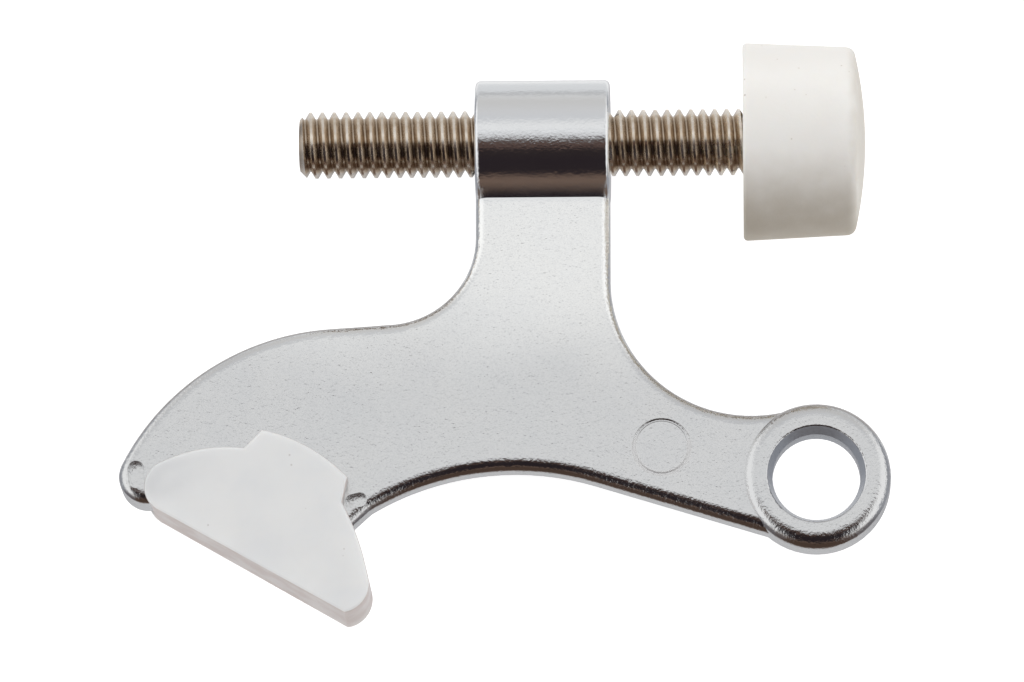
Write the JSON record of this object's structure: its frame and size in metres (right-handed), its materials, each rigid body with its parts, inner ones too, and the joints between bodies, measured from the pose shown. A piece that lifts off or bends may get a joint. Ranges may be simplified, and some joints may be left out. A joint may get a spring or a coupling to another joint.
{
  "type": "hinge-pin door stop",
  "caption": "Cast door stop that hangs on a door hinge's pin: a threaded rod with a rubber bumper meets the door, and a swivelling plastic pad bears on the wall or trim.",
  "frame": {"origin": "centre of the hinge-pin eye, on the plate's mid-plane", "axes": "+Z along the hinge pin, upwards in use; +Y from the eye towards the threaded barrel; +X along the rod towards the bumper"},
  "size_m": [0.0905, 0.0693, 0.0234],
  "materials": {
    "chrome_casting": "polished chrome plate over a die casting, with faint orange peel",
    "nickel_steel": "warm nickel-tinted rolled thread",
    "white_rubber": "off-white matte moulded rubber",
    "white_nylon": "translucent satin nylon"
  },
  "bodies": {
    "casting": {"stop_body": "chrome_casting"},
    "bumper": {"rubber_bumper": "white_rubber"},
    "rod": {"threaded_rod": "nickel_steel"},
    "pad": {"swivel_pad": "white_nylon"}
  },
  "joints": [
    {"name": "rod_spin", "type": "hinge", "parent": "bumper", "child": "rod", "pos_m": [0, 0.0411, 0], "axis": [1, 0, 0], "range_deg": [-3880, 5105]},
    {"name": "rod_travel", "type": "slide", "parent": "casting", "child": "bumper", "axis": [1, 0, 0], "range_m": [-0.0152, 0.02]},
    {"name": "pad_swivel", "type": "hinge", "parent": "casting", "child": "pad", "pos_m": [-0.0693, -0.0136, 0], "axis": [0, 0, 1], "range_deg": [-3, 3]}
  ],
  "couplings": [
    {"joint": "rod_spin", "follows": "rod_travel", "rad_per_m": 4452.7}
  ]
}
